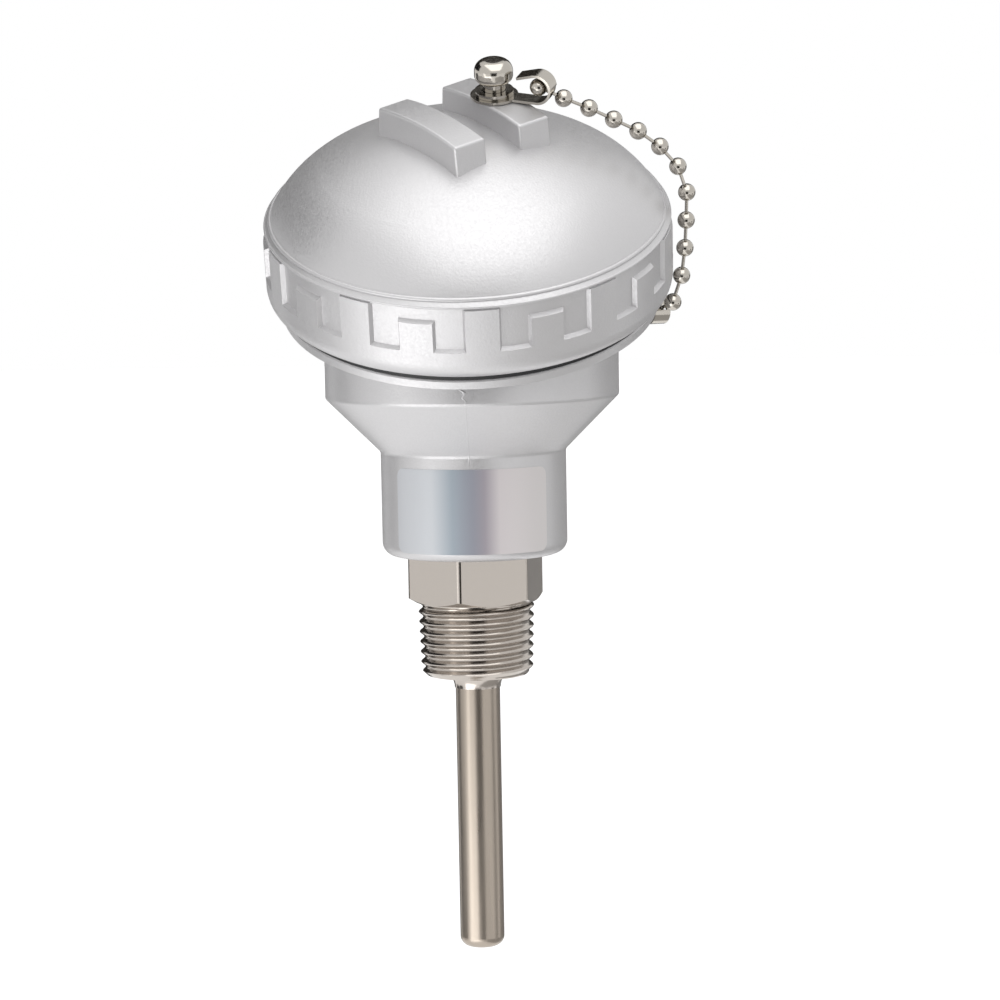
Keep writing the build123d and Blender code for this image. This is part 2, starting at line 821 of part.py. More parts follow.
# Terminal block on the posts
with BuildPart() as terminal_block:
    with Locations((0, 0, block_bottom)):
        Cylinder(block_radius, block_thickness, align=head_up)
    chamfer(terminal_block.edges().filter_by(GeomType.CIRCLE), block_chamfer)
    with Locations((0, 0, block_top)):
        with PolarLocations(0, bar_count, start_angle=bar_turn + 180 / bar_count):
            with Locations((barrier_start, 0, 0)):
                Box(
                    barrier_length,
                    barrier_width,
                    barrier_height,
                    align=(Align.MIN, Align.CENTER, Align.MIN),
                )
    with Locations((0, 0, block_bottom)):
        Cylinder(block_hole_radius, block_thickness, align=head_up, mode=Mode.SUBTRACT)
        with GridLocations(block_screw_pitch, 0, 2, 1):
            Cylinder(
                block_screw_radius + running_gap,
                block_thickness,
                align=head_up,
                mode=Mode.SUBTRACT,
            )
    with Locations((0, 0, block_top)):
        with PolarLocations(0, bar_count, start_angle=bar_turn):
            with Locations((inner_screw, 0, 0), (outer_screw, 0, 0)):
                Cylinder(
                    terminal_screw_radius + seat_gap,
                    terminal_screw_depth - bar_thickness,
                    align=head_down,
                    mode=Mode.SUBTRACT,
                )
keep(terminal_block, "terminal_block")

for place in range(bar_count):
    turn = bar_turn + 360 / bar_count * place
    with BuildPart() as terminal_bar:
        with Locations(Location((0, 0, bar_bottom), (0, 0, turn))):
            with Locations((bar_start, 0, 0)):
                Box(
                    bar_length,
                    bar_width,
                    bar_thickness,
                    align=(Align.MIN, Align.CENTER, Align.MIN),
                )
            with Locations((inner_screw, 0, 0), (outer_screw, 0, 0)):
                Cylinder(
                    terminal_screw_radius + seat_gap,
                    bar_thickness,
                    align=head_up,
                    mode=Mode.SUBTRACT,
                )
            with Locations(Location((bar_start, 0, bar_thickness / 2), (0, 90, 0))):
                Cylinder(
                    lead_radius + seat_gap,
                    lead_grip + seat_gap,
                    align=head_up,
                    mode=Mode.SUBTRACT,
                )
    keep(terminal_bar, f"terminal_bar_{place + 1}")

with BuildPart() as terminal_screws:
    with Locations((0, 0, bar_top + seat_gap)):
        with PolarLocations(0, bar_count, start_angle=bar_turn):
            with Locations((inner_screw, 0, 0), (outer_screw, 0, 0)):
                Cylinder(terminal_screw_radius, terminal_screw_depth, align=head_down)
                Cylinder(terminal_screw_head_radius, terminal_screw_head_height, align=head_up)
    with Locations((0, 0, bar_top + seat_gap + terminal_screw_head_height)):
        with PolarLocations(0, bar_count, start_angle=bar_turn):
            with Locations((inner_screw, 0, 0), (outer_screw, 0, 0)):
                Box(
                    slot_width,
                    2 * terminal_screw_head_radius,
                    slot_depth,
                    align=head_down,
                    mode=Mode.SUBTRACT,
                )
keep(terminal_screws, "terminal_screws")

with BuildPart() as block_screws:
    block_screw_length = block_thickness + block_screw_engagement - block_screw_relief
    with Locations((0, 0, block_top + seat_gap)):
        with GridLocations(block_screw_pitch, 0, 2, 1):
            Cylinder(block_screw_radius, block_screw_length, align=head_down)
            Cylinder(block_screw_head_radius, block_screw_head_height, align=head_up)
    with Locations((0, 0, block_top + seat_gap + block_screw_head_height)):
        with GridLocations(block_screw_pitch, 0, 2, 1):
            Box(
                slot_width,
                2 * block_screw_head_radius,
                slot_depth,
                align=head_down,
                mode=Mode.SUBTRACT,
            )
keep(block_screws, "block_screws")

# Cable entry: sealing ring, washer and gland nut
entry_floor = entry_reach - entry_bore_depth
washer_place = entry_floor + seat_gap + grommet_length + seat_gap
nut_tip = washer_place + entry_washer_thickness + seat_gap
nut_shoulder = nut_tip + entry_nut_shank
with BuildPart() as gland_grommet:
    with BuildSketch(entry_plane.offset(entry_floor + seat_gap)):
        Circle(entry_bore_radius - running_gap)
        Circle(grommet_bore_radius, mode=Mode.SUBTRACT)
    extrude(amount=grommet_length)
keep(gland_grommet, "gland_grommet")

with BuildPart() as gland_washer:
    with BuildSketch(entry_plane.offset(washer_place)):
        Circle(entry_bore_radius - running_gap)
        Circle(entry_washer_bore_radius, mode=Mode.SUBTRACT)
    extrude(amount=entry_washer_thickness)
keep(gland_washer, "gland_washer")

with BuildPart() as gland_nut:
    with BuildSketch(entry_plane.offset(nut_shoulder)):
        RegularPolygon(entry_nut_flats / 2, 6, major_radius=False)
    extrude(amount=entry_nut_head)
    with BuildSketch(Plane.YZ):
        with BuildLine():
            nut_corner = entry_nut_flats / math.sqrt(3)
            nut_face = nut_shoulder + entry_nut_head
            Polyline(
                (nut_shoulder, entry_height),
                (nut_shoulder, entry_height + nut_corner),
                (nut_face - entry_nut_chamfer, entry_height + nut_corner),
                (nut_face, entry_height + entry_nut_flats / 2),
                (nut_face, entry_height),
                (nut_shoulder, entry_height),
            )
        make_face()
    revolve(axis=Axis((0, 0, entry_height), (0, 1, 0)), mode=Mode.INTERSECT)
    with BuildSketch(entry_plane.offset(nut_tip)):
        Circle(entry_bore_radius - running_gap)
    extrude(amount=entry_nut_shank)
    with BuildSketch(entry_plane.offset(nut_tip)):
        Circle(entry_nut_bore_radius)
    extrude(amount=entry_nut_shank + entry_nut_head, mode=Mode.SUBTRACT)
keep(gland_nut, "gland_nut")
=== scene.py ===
"""Look of the resistance thermometer probe: finishes, thread, label foil, light and camera."""

import json
import logging
import math
from dataclasses import dataclass, field
from enum import Enum

import bmesh
import bpy
from mathutils import Matrix, Vector
from mathutils.bvhtree import BVHTree

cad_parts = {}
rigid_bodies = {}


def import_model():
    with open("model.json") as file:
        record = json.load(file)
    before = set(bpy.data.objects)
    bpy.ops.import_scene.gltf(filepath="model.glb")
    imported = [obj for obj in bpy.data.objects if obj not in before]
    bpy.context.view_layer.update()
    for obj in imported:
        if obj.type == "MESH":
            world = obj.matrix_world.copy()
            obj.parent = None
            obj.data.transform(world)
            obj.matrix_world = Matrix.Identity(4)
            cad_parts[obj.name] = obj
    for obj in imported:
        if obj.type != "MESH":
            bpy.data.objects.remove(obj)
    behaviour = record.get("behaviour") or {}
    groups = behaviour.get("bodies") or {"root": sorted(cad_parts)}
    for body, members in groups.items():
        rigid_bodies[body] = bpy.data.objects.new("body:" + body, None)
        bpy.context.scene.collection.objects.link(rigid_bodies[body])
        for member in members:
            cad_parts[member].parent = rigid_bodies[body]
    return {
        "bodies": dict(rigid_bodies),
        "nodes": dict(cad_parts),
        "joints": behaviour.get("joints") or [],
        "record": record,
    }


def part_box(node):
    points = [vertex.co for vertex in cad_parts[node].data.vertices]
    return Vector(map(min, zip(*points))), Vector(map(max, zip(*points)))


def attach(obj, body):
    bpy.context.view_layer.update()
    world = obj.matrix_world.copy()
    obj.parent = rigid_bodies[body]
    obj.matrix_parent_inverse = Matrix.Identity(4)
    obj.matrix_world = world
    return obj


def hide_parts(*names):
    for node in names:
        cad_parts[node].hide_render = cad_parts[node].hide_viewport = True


LOG = logging.getLogger("rtd_probe")
MM = 0.001

# Camera: its distance is set; height, angles and focal length are fitted to the photograph
CAMERA_DISTANCE_MM = 600.0
CAMERA_HEIGHT_MM = 76.73
CAMERA_PITCH_DEG = 5.592
CAMERA_YAW_DEG = 0.457
CAMERA_ROLL_DEG = -1.048
CAMERA_ORBIT_RAD = 0.047
FOCAL_PX = 3350.2
PICTURE_PX = 1000.0
CENTRE_SHIFT_PX = 0.9
SENSOR_MM = 36.0
NEAR_CLIP_M = 0.05
FAR_CLIP_M = 20.0

# Process thread, tapered 1 in 16 on the diameter
THREAD_PITCH_MM = 25.4 / 14
THREAD_DEPTH_MM = 0.80
THREAD_POINTS = 10
THREAD_SHARPNESS = 0.8
THREAD_TAPER = 1 / 32
THREAD_STEPS = 64
THREAD_LEAD_PITCHES = 2
THREAD_SPARE_TURNS = 3
RELIEF_RADIUS_MM = 10.25
RUNOUT_RADIUS_MM = 10.05
RELIEF_LENGTH_MM = 0.4
THREAD_START_TURN_DEG = 200.0
CREST_MARGIN_MM = 1.0
END_FACE_RADIUS_MM = 7.0
END_CHAMFER_MM = 1.5
END_CHAMFER_SLOPE = 1.1
SHOULDER_HOLE_MM = 5.0
END_HOLE_MM = 4.2
RIM_BAND_MM = 0.05
CUT_MARGIN_MM = 0.01
CAD_WELD_MM = 0.001
HELIX_WELD_MM = 0.01
FITTING_SMOOTH_DEG = 20.0

# Label foil on the neck
FOIL_FROM_DEG = -51.3
FOIL_TO_DEG = 52.2
FOIL_LOW_MM = 10.0
FOIL_HIGH_MM = 25.0
FOIL_CORNER_MM = 1.6
FOIL_THICKNESS_MM = 0.08
FOIL_GAP_MM = 0.005
FOIL_COLUMNS = 72
FOIL_ROWS = 36
FOIL_SMOOTH_DEG = 50.0
FOIL_HALF_WIDTH_MM = 13.0
FOIL_METALLIC = 0.35
FOIL_ROUGHNESS = 0.42
# Colour stops across the foil: the foil's own tint from cool to warm, with a painted dark reflection
# band across the middle stops
FOIL_TINT_AND_PAINTED_REFLECTION = (
    (0.0, "#D2D4D8"),
    (0.24, "#C5C8CC"),
    (0.38, "#A0AAB3"),
    (0.52, "#A3A5B0"),
    (0.60, "#AFA9B1"),
    (0.70, "#D6D0D1"),
    (1.0, "#DAD6D5"),
)

# Marks of the mould on the casting's front; the flash's ends are place across and height
RAY_START_MM = 60.0
PARTING_LOW_MM = 25.2
PARTING_HIGH_MM = 38.4
PARTING_STEP_MM = 0.35
PARTING_WIDTH_MM = 0.34
PARTING_RISE_MM = 0.07
PARTING_SUNK_MM = 0.02
PARTING_FADE_ROWS = 4
FLASH_TOP_MM = (-0.9, 39.6)
FLASH_END_MM = (0.3, 37.6)
FLASH_RADIUS_MM = 0.42
FLASH_RINGS = 9
FLASH_SIDES = 16
FLASH_CROOK_MM = 0.45
FLASH_TAPER = 0.75
FLASH_FLATNESS = 0.6

# Rounding of the hexagon's corners
CORNER_MM = 0.5
CORNER_SEGMENTS = 4
CORNER_PROFILE = 0.5
CORNER_RADIUS_MM = 10.0
CORNER_ANGLE_DEG = 40.0
UPRIGHT_RISE = 0.999
FACET_ANGLE_DEG = 1.0
FLAT_AREA_MM2 = 50.0

# Cap frame and the beads rolled along its lip, as radius, height and bead size
CAP_SEAT_MM = 56.1
CAP_TILT_DEG = 25.0
LIP_BEADS_MM = ((35.72, 14.52, 0.30), (34.85, 15.58, 0.42))
LIP_TURNS = 300
LIP_POINTS = 10
ROUND_SMOOTH_DEG = 60.0

# Grain and relief: detail of the noise, and the part of its range that is used
GRAIN_DETAIL = 2.0
RELIEF_DETAIL = 3.0
NOISE_LOW = 0.3
NOISE_HIGH = 0.7

# Stage: how bright the surroundings light and look, and the floor far below the tip
WORLD_LIGHT = 0.55
WORLD_SEEN = 1.0
FLOOR_HALF_M = 6.0
FLOOR_LEVEL_M = -0.30
FLOOR_COLOUR = "#F4F4F4"
FLOOR_ROUGHNESS = 0.9
FLOOR_GLOW = 0.62
UNIT_HALF = 0.5


class Finish(Enum):
    """Surface finishes of the probe."""

    PAINT = "silver_paint"
    RUBBER = "black_rubber"
    NICKEL = "bright_nickel"
    FITTING = "turned_nickel"
    STEM = "brushed_stainless"
    CERAMIC = "white_ceramic"
    POWDER = "oxide_powder"
    RESIN = "potting_resin"
    RED = "red_sleeve"
    WHITE = "white_sleeve"
    BRASS = "bright_brass"
    ZINC = "zinc_plate"
    FOIL = "label_foil"


@dataclass(frozen=True)
class Surface:
    """What makes one finish.

    Args:
        colour: sRGB colour as hexadecimal digits.
        metallic: 0 for a dielectric, 1 for bare metal.
        roughness: microfacet roughness.
        grain_mm: size of the roughness grain, 0 for none.
        grain_depth: how strongly the grain changes the roughness.
        relief_mm: size of the surface relief, 0 for none.
        relief_depth_mm: depth of the surface relief.
        stretch: factors on the pattern along X, Y and Z.
    """

    colour: str
    metallic: float
    roughness: float
    grain_mm: float = 0.0
    grain_depth: float = 0.0
    relief_mm: float = 0.0
    relief_depth_mm: float = 0.0
    stretch: tuple[float, float, float] = (1.0, 1.0, 1.0)


SURFACES = {
    Finish.PAINT: Surface(
        colour="#CCCBCC", metallic=0.60, roughness=0.43,
        grain_mm=0.40, grain_depth=0.16, relief_mm=0.42, relief_depth_mm=0.035,
    ),
    Finish.RUBBER: Surface(
        colour="#18181A", metallic=0.0, roughness=0.55,
        grain_mm=0.5, grain_depth=0.08,
    ),
    Finish.NICKEL: Surface(
        colour="#B6B1A9", metallic=1.0, roughness=0.15,
        grain_mm=0.6, grain_depth=0.06,
    ),
    Finish.FITTING: Surface(
        colour="#B5AEA7", metallic=1.0, roughness=0.19,
        grain_mm=0.5, grain_depth=0.05, relief_mm=0.25, relief_depth_mm=0.002, stretch=(1.0, 1.0, 4.0),
    ),
    Finish.STEM: Surface(
        colour="#A79D92", metallic=1.0, roughness=0.30,
        grain_mm=0.8, grain_depth=0.06, relief_mm=0.3, relief_depth_mm=0.002, stretch=(1.0, 1.0, 0.05),
    ),
    Finish.CERAMIC: Surface(
        colour="#E9E6DC", metallic=0.0, roughness=0.45,
        grain_mm=0.6, grain_depth=0.05,
    ),
    Finish.POWDER: Surface(
        colour="#F0EFEA", metallic=0.0, roughness=0.85,
        grain_mm=0.3, grain_depth=0.05,
    ),
    Finish.RESIN: Surface(
        colour="#5A3522", metallic=0.0, roughness=0.30,
    ),
    Finish.RED: Surface(
        colour="#A8201A", metallic=0.0, roughness=0.60,
        grain_mm=0.4, grain_depth=0.08, relief_mm=0.3, relief_depth_mm=0.03,
    ),
    Finish.WHITE: Surface(
        colour="#E6E6E2", metallic=0.0, roughness=0.60,
        grain_mm=0.4, grain_depth=0.08, relief_mm=0.3, relief_depth_mm=0.03,
    ),
    Finish.BRASS: Surface(
        colour="#CBA352", metallic=1.0, roughness=0.24,
        grain_mm=0.6, grain_depth=0.06,
    ),
    Finish.ZINC: Surface(
        colour="#B9BBBD", metallic=1.0, roughness=0.30,
        grain_mm=0.6, grain_depth=0.06,
    ),
}

FINISH_OF = {
    "head_body": Finish.PAINT,
    "head_cap": Finish.PAINT,
    "cap_gasket": Finish.RUBBER,
    "gland_grommet": Finish.RUBBER,
    "cap_chain_screw": Finish.NICKEL,
    "cap_chain_washer": Finish.NICKEL,
    "cap_chain_clip": Finish.NICKEL,
    "body_chain_clip": Finish.NICKEL,
    "body_chain_screw": Finish.NICKEL,
    "chain_": Finish.NICKEL,
    "hex_nipple": Finish.FITTING,
    "sheath": Finish.STEM,
    "sensing_element": Finish.CERAMIC,
    "terminal_block": Finish.CERAMIC,
    "filling": Finish.POWDER,
    "potting": Finish.RESIN,
    "lead_wire_3": Finish.WHITE,
    "lead_wire_": Finish.RED,
    "terminal_bar_": Finish.BRASS,
    "terminal_screws": Finish.ZINC,
    "block_screws": Finish.ZINC,
    "gland_washer": Finish.ZINC,
    "gland_nut": Finish.ZINC,
}


def srgb(code: str) -> tuple[float, float, float, float]:
    """Turn an sRGB colour into linear values, by the curve of the sRGB standard.

    Args:
        code: colour written as #RRGGBB.

    Returns:
        Linear red, green and blue, and an alpha of 1.
    """
    channels = [int(code[place : place + 2], 16) / 255 for place in (1, 3, 5)]
    linear = [c / 12.92 if c <= 0.04045 else ((c + 0.055) / 1.055) ** 2.4 for c in channels]
    return (*linear, 1.0)


def seen_rays(nodes: bpy.types.Nodes, links: bpy.types.NodeLinks) -> bpy.types.NodeSocket:
    """Tell the rays that see a surface from those that light it.

    Args:
        nodes: nodes of the material or world.
        links: links of the same tree.

    Returns:
        A socket that is 1 for camera, glossy and transmission rays, and 0 for the rest.
    """
    path = nodes.new("ShaderNodeLightPath")
    total = path.outputs["Is Camera Ray"]
    for ray in ("Is Glossy Ray", "Is Transmission Ray"):
        larger = nodes.new("ShaderNodeMath")
        larger.operation = "MAXIMUM"
        links.new(total, larger.inputs[0])
        links.new(path.outputs[ray], larger.inputs[1])
        total = larger.outputs["Value"]
    return total


def noise(nodes: bpy.types.Nodes, size_mm: float, detail: float) -> bpy.types.Node:
    """Add a noise pattern of a real size.

    Args:
        nodes: nodes of the material.
        size_mm: size of the pattern.
        detail: number of finer layers.

    Returns:
        The noise node, its vector not yet linked.
    """
    made = nodes.new("ShaderNodeTexNoise")
    made.inputs["Scale"].default_value = 1 / (size_mm * MM)
    made.inputs["Detail"].default_value = detail
    return made


class Paintbox:
    """Makes and hands out the materials."""

    def __init__(self) -> None:
        self.made: dict = {}

    def get(self, finish: Finish) -> bpy.types.Material:
        """Give the material of a finish, making it the first time.

        Args:
            finish: the finish wanted.

        Returns:
            Its material.
        """
        if finish not in self.made:
            maker = self.foil if finish is Finish.FOIL else self.plain
            self.made[finish] = maker(finish)
        return self.made[finish]

    @staticmethod
    def start(finish: Finish) -> tuple:
        """Start a node material.

        Args:
            finish: the finish that names it.

        Returns:
            The material, its nodes, its links and its shader.
        """
        material = bpy.data.materials.new(finish.value)
        material.use_nodes = True
        nodes, links = material.node_tree.nodes, material.node_tree.links
        return material, nodes, links, nodes["Principled BSDF"]

    def plain(self, finish: Finish) -> bpy.types.Material:
        """Make a finish with its grain and relief.

        Args:
            finish: a finish of SURFACES.

        Returns:
            Its material.
        """
        surface = SURFACES[finish]
        material, nodes, links, shader = self.start(finish)
        shader.inputs["Base Color"].default_value = srgb(surface.colour)
        shader.inputs["Metallic"].default_value = surface.metallic
        shader.inputs["Roughness"].default_value = surface.roughness
        coordinate = nodes.new("ShaderNodeTexCoord")
        mapping = nodes.new("ShaderNodeMapping")
        mapping.inputs["Scale"].default_value = surface.stretch
        links.new(coordinate.outputs["Object"], mapping.inputs["Vector"])
        if surface.grain_mm:
            grain = noise(nodes, surface.grain_mm, GRAIN_DETAIL)
            span = nodes.new("ShaderNodeMapRange")
            span.inputs["From Min"].default_value = NOISE_LOW
            span.inputs["From Max"].default_value = NOISE_HIGH
            span.inputs["To Min"].default_value = surface.roughness - surface.grain_depth / 2
            span.inputs["To Max"].default_value = surface.roughness + surface.grain_depth / 2
            links.new(mapping.outputs["Vector"], grain.inputs["Vector"])
            links.new(grain.outputs["Fac"], span.inputs["Value"])
            links.new(span.outputs["Result"], shader.inputs["Roughness"])
        if surface.relief_mm:
            relief = noise(nodes, surface.relief_mm, RELIEF_DETAIL)
            bump = nodes.new("ShaderNodeBump")
            bump.inputs["Distance"].default_value = surface.relief_depth_mm * MM
            links.new(mapping.outputs["Vector"], relief.inputs["Vector"])
            links.new(relief.outputs["Fac"], bump.inputs["Height"])
            links.new(bump.outputs["Normal"], shader.inputs["Normal"])
        return material

    def foil(self, finish: Finish) -> bpy.types.Material:
        """Make the label foil, whose own colour goes from cool to warm across the neck, with a painted
        dark reflection band down its middle.

        Args:
            finish: the foil's finish.

        Returns:
            Its material.
        """
        material, nodes, links, shader = self.start(finish)
        coordinate = nodes.new("ShaderNodeTexCoord")
        separate = nodes.new("ShaderNodeSeparateXYZ")
        span = nodes.new("ShaderNodeMapRange")
        span.inputs["From Min"].default_value = -FOIL_HALF_WIDTH_MM * MM
        span.inputs["From Max"].default_value = FOIL_HALF_WIDTH_MM * MM
        # The ramp paints a dark reflection band down the foil's middle over the foil's own
        # cool-to-warm tint
        ramp = nodes.new("ShaderNodeValToRGB")
        ramp.color_ramp.elements[0].color = srgb(FOIL_TINT_AND_PAINTED_REFLECTION[0][1])
        ramp.color_ramp.elements[1].color = srgb(FOIL_TINT_AND_PAINTED_REFLECTION[-1][1])
        for place, code in FOIL_TINT_AND_PAINTED_REFLECTION[1:-1]:
            ramp.color_ramp.elements.new(place).color = srgb(code)
        links.new(coordinate.outputs["Object"], separate.inputs["Vector"])
        links.new(separate.outputs["X"], span.inputs["Value"])
        links.new(span.outputs["Result"], ramp.inputs["Fac"])
        links.new(ramp.outputs["Color"], shader.inputs["Base Color"])
        shader.inputs["Metallic"].default_value = FOIL_METALLIC
        shader.inputs["Roughness"].default_value = FOIL_ROUGHNESS
        return material


def finish_of(node: str) -> Finish:
    """Find the finish of a CAD node by the start of its name, longest match first.

    Args:
        node: name of the node.

    Returns:
        Its finish.

    Raises:
        KeyError: no finish is stated for the node.
    """
    for start in sorted(FINISH_OF, key=len, reverse=True):
        if node.startswith(start):
            return FINISH_OF[start]
    raise KeyError(node)


def add_object(
    name: str, form: bmesh.types.BMesh, material: bpy.types.Material
) -> bpy.types.Object:
    """Turn a finished form into an object at the origin, and free the form.

    Args:
        name: name of the object and its mesh.
        form: the finished form.
        material: its material.

    Returns:
        The object, linked to the scene.
    """
    mesh = bpy.data.meshes.new(name)
    form.to_mesh(mesh)
    form.free()
    mesh.materials.append(material)
    made = bpy.data.objects.new(name, mesh)
    bpy.context.scene.collection.objects.link(made)
    return made


def pour(piece: bmesh.types.BMesh, form: bmesh.types.BMesh) -> None:
    """Move one form's geometry into another, and free the first.

    Args:
        piece: the form that is emptied.
        form: the form that receives it.
    """
    part = bpy.data.meshes.new("part")
    piece.to_mesh(part)
    piece.free()
    form.from_mesh(part)
    bpy.data.meshes.remove(part)


def trim(form: bmesh.types.BMesh, level: float, way: int) -> None:
    """Cut a form level and drop one side.

    Args:
        form: the form to cut.
        level: height of the cut.
        way: 1 to drop what lies above, -1 to drop what lies below.
    """
    bmesh.ops.bisect_plane(
        form,
        geom=[*form.verts, *form.edges, *form.faces],
        plane_co=(0, 0, level),
        plane_no=(0, 0, way),
        clear_outer=True,
    )


def smooth(mesh: bpy.types.Mesh, angle_deg: float) -> None:
    """Shade a mesh smooth, apart from its sharp edges.

    Args:
        mesh: the mesh.
        angle_deg: edges sharper than this stay sharp.
    """
    if "custom_normal" in mesh.attributes:
        mesh.attributes.remove(mesh.attributes["custom_normal"])
    mesh.shade_smooth()
    mesh.set_sharp_from_angle(angle=math.radians(angle_deg))


def crease_flats(mesh: bpy.types.Mesh, area_mm2: float) -> None:
    """Mark the edges round every large flat as sharp.

    Args:
        mesh: the mesh.
        area_mm2: faces larger than this are flats.
    """
    sharp = {
        key
        for face in mesh.polygons
        if face.area > area_mm2 * MM * MM
        for key in face.edge_keys
    }
    for edge in mesh.edges:
        if edge.key in sharp:
            edge.use_edge_sharp = True


@dataclass
class Nipple:
    """The process fitting, with its helical tapered thread."""

    paint: Paintbox
    node: str = "hex_nipple"

    def build(self) -> bpy.types.Object:
        """Join the CAD's hexagon and weld ring with a turned helical thread.

        Returns:
            The fitting, in place of its CAD node.
        """
        low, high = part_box(self.node)
        source = bpy.data.objects[self.node].data
        form = bmesh.new()
        thread_low = self.thread_end()
        margin = CUT_MARGIN_MM * MM
        for level, way in ((-margin, -1), (thread_low - margin, 1)):
            piece = bmesh.new()
            piece.from_mesh(source)
            bmesh.ops.remove_doubles(piece, verts=piece.verts, dist=CAD_WELD_MM * MM)
            trim(piece, level, way)
            pour(piece, form)
        self.soften_corners(form)
        self.add_thread(form, thread_low)
        made = add_object("process_fitting", form, self.paint.get(Finish.FITTING))
        smooth(made.data, FITTING_SMOOTH_DEG)
        crease_flats(made.data, FLAT_AREA_MM2)
        LOG.info("process fitting %s to %s", low, high)
        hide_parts(self.node)
        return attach(made, "head")

    @staticmethod
    def soften_corners(form: bmesh.types.BMesh) -> None:
        """Round the hexagon's upright corners a little.

        Args:
            form: the fitting without its thread.
        """
        facet = math.radians(FACET_ANGLE_DEG)
        bmesh.ops.dissolve_limit(form, angle_limit=facet, verts=form.verts, edges=form.edges)
        corners = []
        for edge in form.edges:
            first, second = (vertex.co for vertex in edge.verts)
            along = (second - first).normalized()
            upright = len(edge.link_faces) == 2 and abs(along.z) > UPRIGHT_RISE
            bent = upright and edge.calc_face_angle(0.0) > math.radians(CORNER_ANGLE_DEG)
            if bent and first.xy.length > CORNER_RADIUS_MM * MM:
                corners.append(edge)
        bmesh.ops.bevel(
            form,
            geom=corners,
            offset=CORNER_MM * MM,
            offset_type="OFFSET",
            segments=CORNER_SEGMENTS,
            profile=CORNER_PROFILE,
            affect="EDGES",
        )

    def thread_end(self) -> float:
        """Find the thread's end face, the lowest wide ring of the CAD's fitting.

        Returns:
            Its height.
        """
        wide = END_FACE_RADIUS_MM * MM
        points = bpy.data.objects[self.node].data.vertices
        return min(v.co.z for v in points if math.hypot(v.co.x, v.co.y) > wide)

    def add_thread(self, form: bmesh.types.BMesh, end: float) -> None:
        """Spin a waved outline into a helix, trim it, taper it and close its ends.

        Args:
            form: the fitting, which receives the thread.
            end: height of the thread's end face.
        """
        crest = max(
            math.hypot(v.co.x, v.co.y)
            for v in bpy.data.objects[self.node].data.vertices
            if end < v.co.z < -CREST_MARGIN_MM * MM
        )
        pitch = THREAD_PITCH_MM * MM
        depth = THREAD_DEPTH_MM * MM
        turns = math.ceil(-end / pitch) + THREAD_SPARE_TURNS
        helix = bmesh.new()
        outline = []
        for turn in range(turns):
            for point in range(THREAD_POINTS):
                along = point / THREAD_POINTS
                down = (0.5 - 0.5 * math.cos(2 * math.pi * along)) ** THREAD_SHARPNESS
                height = THREAD_LEAD_PITCHES * pitch - (turn + along) * pitch
                outline.append(helix.verts.new((crest - down * depth, 0, height)))
        edges = [helix.edges.new(pair) for pair in zip(outline, outline[1:])]
        bmesh.ops.spin(
            helix,
            geom=[*outline, *edges],
            cent=(0, 0, 0),
            axis=(0, 0, -1),
            dvec=(0, 0, -pitch / THREAD_STEPS),
            angle=2 * math.pi,
            steps=THREAD_STEPS,
        )
        bmesh.ops.rotate(
            helix,
            verts=helix.verts,
            cent=(0, 0, 0),
            matrix=Matrix.Rotation(math.radians(THREAD_START_TURN_DEG), 3, "Z"),
        )
        bmesh.ops.remove_doubles(helix, verts=helix.verts, dist=HELIX_WELD_MM * MM)
        trim(helix, 0.0, 1)
        trim(helix, end, -1)
        for vertex in helix.verts:
            self.limit(vertex, crest, end)
        rims = [edge for edge in helix.edges if edge.is_boundary]
        for plane, inner in ((0.0, SHOULDER_HOLE_MM * MM), (end, END_HOLE_MM * MM)):
            rim = [e for e in rims if abs(e.verts[0].co.z - plane) < RIM_BAND_MM * MM]
            grown = bmesh.ops.extrude_edge_only(helix, edges=rim)
            for vertex in grown["geom"]:
                if isinstance(vertex, bmesh.types.BMVert):
                    flat = Vector((vertex.co.x, vertex.co.y, 0)).normalized() * inner
                    vertex.co = (flat.x, flat.y, plane)
        bmesh.ops.recalc_face_normals(helix, faces=helix.faces)
        pour(helix, form)

    @staticmethod
    def limit(vertex: bmesh.types.BMVert, crest: float, end: float) -> None:
        """Move one thread vertex to the taper, the relief, the run-out and the end chamfer.

        Args:
            vertex: vertex of the helix.
            crest: radius of the thread's crest before the taper.
            end: height of the thread's end face.
        """
        height = vertex.co.z
        radius = math.hypot(vertex.co.x, vertex.co.y)
        below = max(0.0, -height - RELIEF_LENGTH_MM * MM)
        relief = RELIEF_RADIUS_MM * MM + below
        runout = RUNOUT_RADIUS_MM * MM - below
        chamfer = crest - END_CHAMFER_MM * MM + (height - end) * END_CHAMFER_SLOPE
        wanted = min(max(radius + height * THREAD_TAPER, runout), relief, chamfer)
        if radius > 0:
            vertex.co.x *= wanted / radius
            vertex.co.y *= wanted / radius


